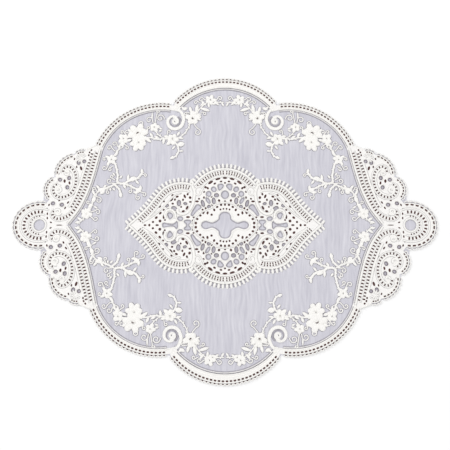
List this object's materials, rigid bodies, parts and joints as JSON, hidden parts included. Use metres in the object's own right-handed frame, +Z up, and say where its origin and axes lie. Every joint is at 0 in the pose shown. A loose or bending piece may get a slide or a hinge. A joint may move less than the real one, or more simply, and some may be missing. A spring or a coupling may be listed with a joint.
{
  "type": "lace placemat",
  "caption": "Flat scalloped lace placemat: sheer net ground with a lace edge, two lace ends, a centre medallion and flower sprays, laid on a surface.",
  "frame": {"origin": "under the middle of the mat, on the surface that it lies on", "axes": "+X along the mat's length towards one lace end, +Y across it towards the top lobe, +Z up out of the lace face"},
  "size_m": [0.43, 0.313, 0.0023],
  "materials": {
    "net": "sheer fine net with a soft upright weave line, pale lavender grey",
    "lace": "matt off-white cotton thread, satin stitched and corded"
  },
  "bodies": {
    "root": {"net_ground": "net", "edge_lace_top": "lace", "edge_lace_bottom": "lace", "end_lace_left": "lace", "end_lace_right": "lace", "medallion_lace": "lace", "spray_top_left": "lace", "spray_top_right": "lace", "spray_bottom_left": "lace", "spray_bottom_right": "lace"}
  },
  "joints": []
}
